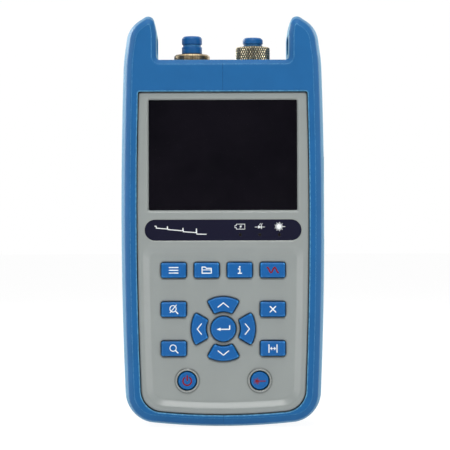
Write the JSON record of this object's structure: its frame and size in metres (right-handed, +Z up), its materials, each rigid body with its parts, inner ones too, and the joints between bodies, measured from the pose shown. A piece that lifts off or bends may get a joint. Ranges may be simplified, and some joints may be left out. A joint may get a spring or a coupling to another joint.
{
  "type": "optical time domain reflectometer",
  "caption": "Handheld optical time domain reflectometer in a protective rubber boot, with a display, a keypad, two capped fibre ports on top and a folding stand.",
  "frame": {"origin": "middle of the foot, half way through the thickness, on the plane it stands on", "axes": "+Z up from the foot to the fibre ports, +X to the user's right, +Y from the screen to the back"},
  "size_m": [0.098, 0.048, 0.1971],
  "materials": {
    "boot_rubber": "satin moulded rubber",
    "grey_plastic": "fine grained grey plastic",
    "window": "dark gloss window",
    "black_plastic": "black plastic",
    "legend_film": "dark printed film",
    "clear_plastic": "clear light pipe",
    "key_plastic": "blue key caps with white symbols",
    "grey_silicone": "silicone",
    "board_green": "solder resist",
    "steel": "plain steel",
    "brass": "turned nickel-brass",
    "knurled": "diamond knurl",
    "ceramic": "zirconia",
    "cap_rubber": "soft blue rubber",
    "aluminium": "bare aluminium",
    "fibre_jacket": "buffered fibre",
    "battery_wrap": "shrink wrap"
  },
  "bodies": {
    "instrument": {"battery_contacts": "brass", "battery_cover": "grey_plastic", "battery_cover_screws": "steel", "battery_pack": "battery_wrap", "board_chips": "black_plastic", "board_screws": "steel", "boot": "boot_rubber", "case_screws": "steel", "case_seal": "grey_silicone", "dc_jack": "black_plastic", "display_gasket": "grey_silicone", "display_window": "window", "dome_switches": "steel", "fault_source_barrel": "brass", "fault_source_laser": "aluminium", "ferrule_sleeve": "ceramic", "flap_pin": "steel", "front_case": "grey_plastic", "keypad_mat": "grey_silicone", "kickstand_pins": "steel", "lcd_module": "steel", "legend_plate": "legend_film", "light_pipes": "clear_plastic", "main_board": "board_green", "otdr_barrel": "brass", "otdr_fibre": "fibre_jacket", "otdr_module": "aluminium", "otdr_port_flange": "brass", "port_block": "aluminium", "rear_case": "grey_plastic", "usb_socket": "steel"},
    "key_down": {"key_down": "key_plastic"},
    "key_enter": {"key_enter": "key_plastic"},
    "key_escape": {"key_escape": "key_plastic"},
    "key_file": {"key_file": "key_plastic"},
    "key_info": {"key_info": "key_plastic"},
    "key_laser": {"key_laser": "key_plastic"},
    "key_left": {"key_left": "key_plastic"},
    "key_light_source": {"key_light_source": "key_plastic"},
    "key_markers": {"key_markers": "key_plastic"},
    "key_menu": {"key_menu": "key_plastic"},
    "key_power": {"key_power": "key_plastic"},
    "key_right": {"key_right": "key_plastic"},
    "key_up": {"key_up": "key_plastic"},
    "key_zoom": {"key_zoom": "key_plastic"},
    "key_zoom_reset": {"key_zoom_reset": "key_plastic"},
    "otdr_dust_cap": {"otdr_dust_cap": "cap_rubber"},
    "fault_source_dust_cap": {"fault_source_dust_cap": "cap_rubber"},
    "knurled_ring": {"knurled_ring": "knurled"},
    "side_flap": {"side_flap": "boot_rubber"},
    "kickstand": {"kickstand": "grey_plastic"}
  },
  "joints": [
    {"name": "key_down_press", "type": "slide", "parent": "instrument", "child": "key_down", "axis": [0, 1, 0], "range_m": [0, 0.0007], "stiffness_N_per_m": 1200, "springref_m": -0.0003},
    {"name": "key_enter_press", "type": "slide", "parent": "instrument", "child": "key_enter", "axis": [0, 1, 0], "range_m": [0, 0.0007], "stiffness_N_per_m": 1200, "springref_m": -0.0003},
    {"name": "key_escape_press", "type": "slide", "parent": "instrument", "child": "key_escape", "axis": [0, 1, 0], "range_m": [0, 0.0007], "stiffness_N_per_m": 1200, "springref_m": -0.0003},
    {"name": "key_file_press", "type": "slide", "parent": "instrument", "child": "key_file", "axis": [0, 1, 0], "range_m": [0, 0.0007], "stiffness_N_per_m": 1200, "springref_m": -0.0003},
    {"name": "key_info_press", "type": "slide", "parent": "instrument", "child": "key_info", "axis": [0, 1, 0], "range_m": [0, 0.0007], "stiffness_N_per_m": 1200, "springref_m": -0.0003},
    {"name": "key_laser_press", "type": "slide", "parent": "instrument", "child": "key_laser", "axis": [0, 1, 0], "range_m": [0, 0.0007], "stiffness_N_per_m": 1200, "springref_m": -0.0003},
    {"name": "key_left_press", "type": "slide", "parent": "instrument", "child": "key_left", "axis": [0, 1, 0], "range_m": [0, 0.0007], "stiffness_N_per_m": 1200, "springref_m": -0.0003},
    {"name": "key_light_source_press", "type": "slide", "parent": "instrument", "child": "key_light_source", "axis": [0, 1, 0], "range_m": [0, 0.0007], "stiffness_N_per_m": 1200, "springref_m": -0.0003},
    {"name": "key_markers_press", "type": "slide", "parent": "instrument", "child": "key_markers", "axis": [0, 1, 0], "range_m": [0, 0.0007], "stiffness_N_per_m": 1200, "springref_m": -0.0003},
    {"name": "key_menu_press", "type": "slide", "parent": "instrument", "child": "key_menu", "axis": [0, 1, 0], "range_m": [0, 0.0007], "stiffness_N_per_m": 1200, "springref_m": -0.0003},
    {"name": "key_power_press", "type": "slide", "parent": "instrument", "child": "key_power", "axis": [0, 1, 0], "range_m": [0, 0.0007], "stiffness_N_per_m": 1200, "springref_m": -0.0003},
    {"name": "key_right_press", "type": "slide", "parent": "instrument", "child": "key_right", "axis": [0, 1, 0], "range_m": [0, 0.0007], "stiffness_N_per_m": 1200, "springref_m": -0.0003},
    {"name": "key_up_press", "type": "slide", "parent": "instrument", "child": "key_up", "axis": [0, 1, 0], "range_m": [0, 0.0007], "stiffness_N_per_m": 1200, "springref_m": -0.0003},
    {"name": "key_zoom_press", "type": "slide", "parent": "instrument", "child": "key_zoom", "axis": [0, 1, 0], "range_m": [0, 0.0007], "stiffness_N_per_m": 1200, "springref_m": -0.0003},
    {"name": "key_zoom_reset_press", "type": "slide", "parent": "instrument", "child": "key_zoom_reset", "axis": [0, 1, 0], "range_m": [0, 0.0007], "stiffness_N_per_m": 1200, "springref_m": -0.0003},
    {"name": "otdr_dust_cap_pull", "type": "slide", "parent": "instrument", "child": "otdr_dust_cap", "axis": [0, 0, 1], "range_m": [0, 0.012]},
    {"name": "fault_source_dust_cap_pull", "type": "slide", "parent": "instrument", "child": "fault_source_dust_cap", "axis": [0, 0, 1], "range_m": [0, 0.01]},
    {"name": "knurled_ring_turn", "type": "hinge", "parent": "instrument", "child": "knurled_ring", "pos_m": [0.0148, 0, 0.1775], "axis": [0, 0, 1], "continuous": true},
    {"name": "side_flap_open", "type": "hinge", "parent": "instrument", "child": "side_flap", "pos_m": [0.0477, 0.002, 0.10945], "axis": [0, 0, 1], "range_deg": [0, 95]},
    {"name": "kickstand_open", "type": "hinge", "parent": "instrument", "child": "kickstand", "pos_m": [0, 0.02105, 0.1573], "axis": [1, 0, 0], "range_deg": [0, 60]}
  ]
}
